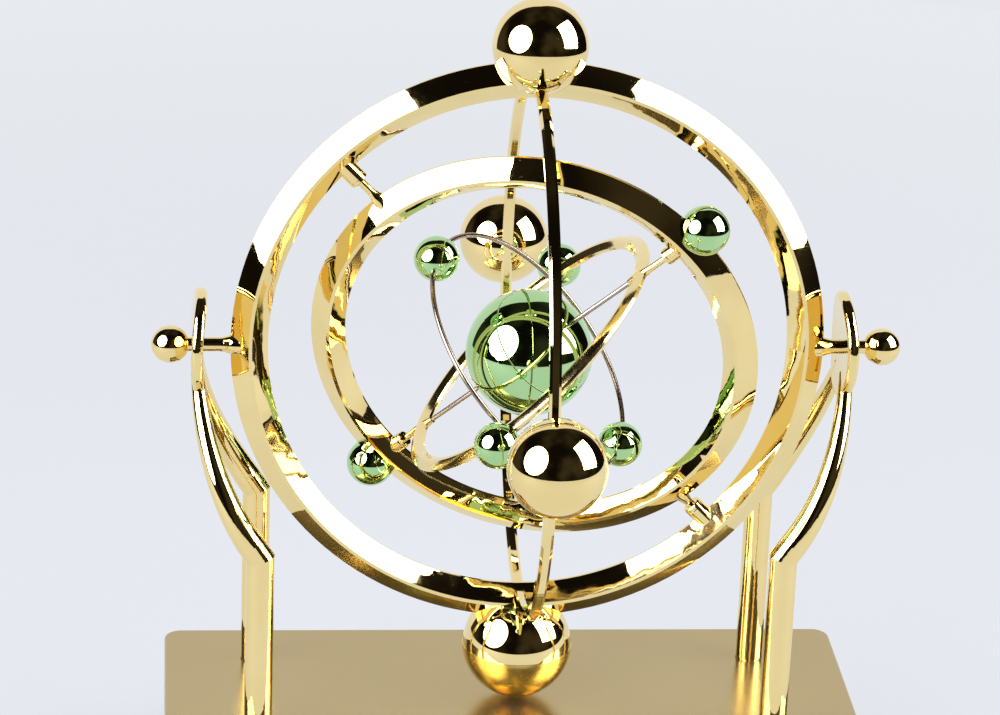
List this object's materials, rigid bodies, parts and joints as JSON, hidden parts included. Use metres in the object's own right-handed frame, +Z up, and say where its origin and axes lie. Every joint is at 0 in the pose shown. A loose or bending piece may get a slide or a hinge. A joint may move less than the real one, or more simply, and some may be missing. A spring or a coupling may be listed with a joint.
{
  "type": "orbital desk spinner",
  "caption": "Magnet-driven orbital desk spinner: nested gold rings on pins, gold and green mirror balls, arched side stands and a rectangular base with a coil inside.",
  "frame": {"origin": "middle of the resting plane under the four rubber feet", "axes": "+X along the main axle to the right, -Y to the front, +Z up"},
  "size_m": [0.2114, 0.2022, 0.2359],
  "materials": {
    "mirror_gold": "vacuum-plated mirror gold",
    "satin_gold": "satin gold lacquer",
    "green_chrome": "vacuum-plated green mirror",
    "bronze_wire": "gunmetal-plated wire",
    "steel": "drawn steel",
    "zinc_screw": "zinc plated",
    "magnet": "nickel-plated magnet",
    "black_plastic": "fine moulded texture",
    "battery_case": "printed steel jacket",
    "board_green": "solder mask",
    "capacitor_sleeve": "shrink sleeve",
    "copper": "enamelled copper wire",
    "white_nylon": "moulded nylon",
    "rubber": "matt rubber"
  },
  "bodies": {
    "stand": {"base_cover": "satin_gold", "base_floor": "black_plastic", "battery": "battery_case", "battery_clip": "black_plastic", "circuit_board": "board_green", "board_screws": "zinc_screw", "smoothing_capacitor": "capacitor_sleeve", "drive_transistor": "black_plastic", "board_diode": "black_plastic", "coil_bobbin": "white_nylon", "coil_winding": "copper", "coil_core": "steel", "switch_body": "black_plastic", "base_screws": "zinc_screw", "post_screws": "zinc_screw", "rubber_feet": "rubber", "left_stand": "mirror_gold", "right_stand": "mirror_gold"},
    "outer_rotor": {"outer_ring_front": "mirror_gold", "outer_ring_back": "mirror_gold", "left_axle": "mirror_gold", "right_axle": "mirror_gold", "left_axle_ball": "mirror_gold", "right_axle_ball": "mirror_gold", "upper_pin_socket": "mirror_gold", "lower_pin_socket": "mirror_gold", "cross_ring_front": "mirror_gold", "cross_ring_back": "mirror_gold", "top_ball": "mirror_gold", "front_ball": "mirror_gold", "back_ball": "mirror_gold", "drive_ball_cap": "mirror_gold", "drive_ball_cup": "mirror_gold", "drive_magnet": "magnet"},
    "middle_rotor": {"middle_ring_front": "mirror_gold", "middle_ring_back": "mirror_gold", "upper_middle_pin": "mirror_gold", "lower_middle_pin": "mirror_gold", "right_spin_socket": "mirror_gold", "left_spin_socket": "mirror_gold", "right_green_ball": "green_chrome", "left_green_ball": "green_chrome"},
    "inner_rotor": {"inner_ring": "mirror_gold", "right_spin_pin": "mirror_gold", "left_spin_pin": "mirror_gold", "wire_ring": "bronze_wire", "core_rod": "steel", "core_ball_right": "green_chrome", "core_ball_left": "green_chrome", "near_stem_ball": "green_chrome", "far_stem_ball": "green_chrome", "upper_wire_ball": "green_chrome", "lower_wire_ball": "green_chrome"},
    "door": {"battery_door": "black_plastic"},
    "slider": {"switch_slider": "black_plastic"}
  },
  "joints": [
    {"name": "outer_ring_spin", "type": "hinge", "parent": "stand", "child": "outer_rotor", "pos_m": [0, 0, 0.1348], "axis": [1, 0, 0], "continuous": true},
    {"name": "middle_ring_spin", "type": "hinge", "parent": "outer_rotor", "child": "middle_rotor", "pos_m": [0, 0, 0.1348], "axis": [-0.7071, 0, 0.7071], "continuous": true},
    {"name": "inner_ring_spin", "type": "hinge", "parent": "middle_rotor", "child": "inner_rotor", "pos_m": [0.00127, 0, 0.13353], "axis": [0.6674, -0.3305, 0.6674], "continuous": true},
    {"name": "battery_door_slide", "type": "slide", "parent": "stand", "child": "door", "axis": [1, 0, 0], "range_m": [0, 0.056]},
    {"name": "power_switch_slide", "type": "slide", "parent": "stand", "child": "slider", "axis": [1, 0, 0], "range_m": [0, 0.004]}
  ]
}
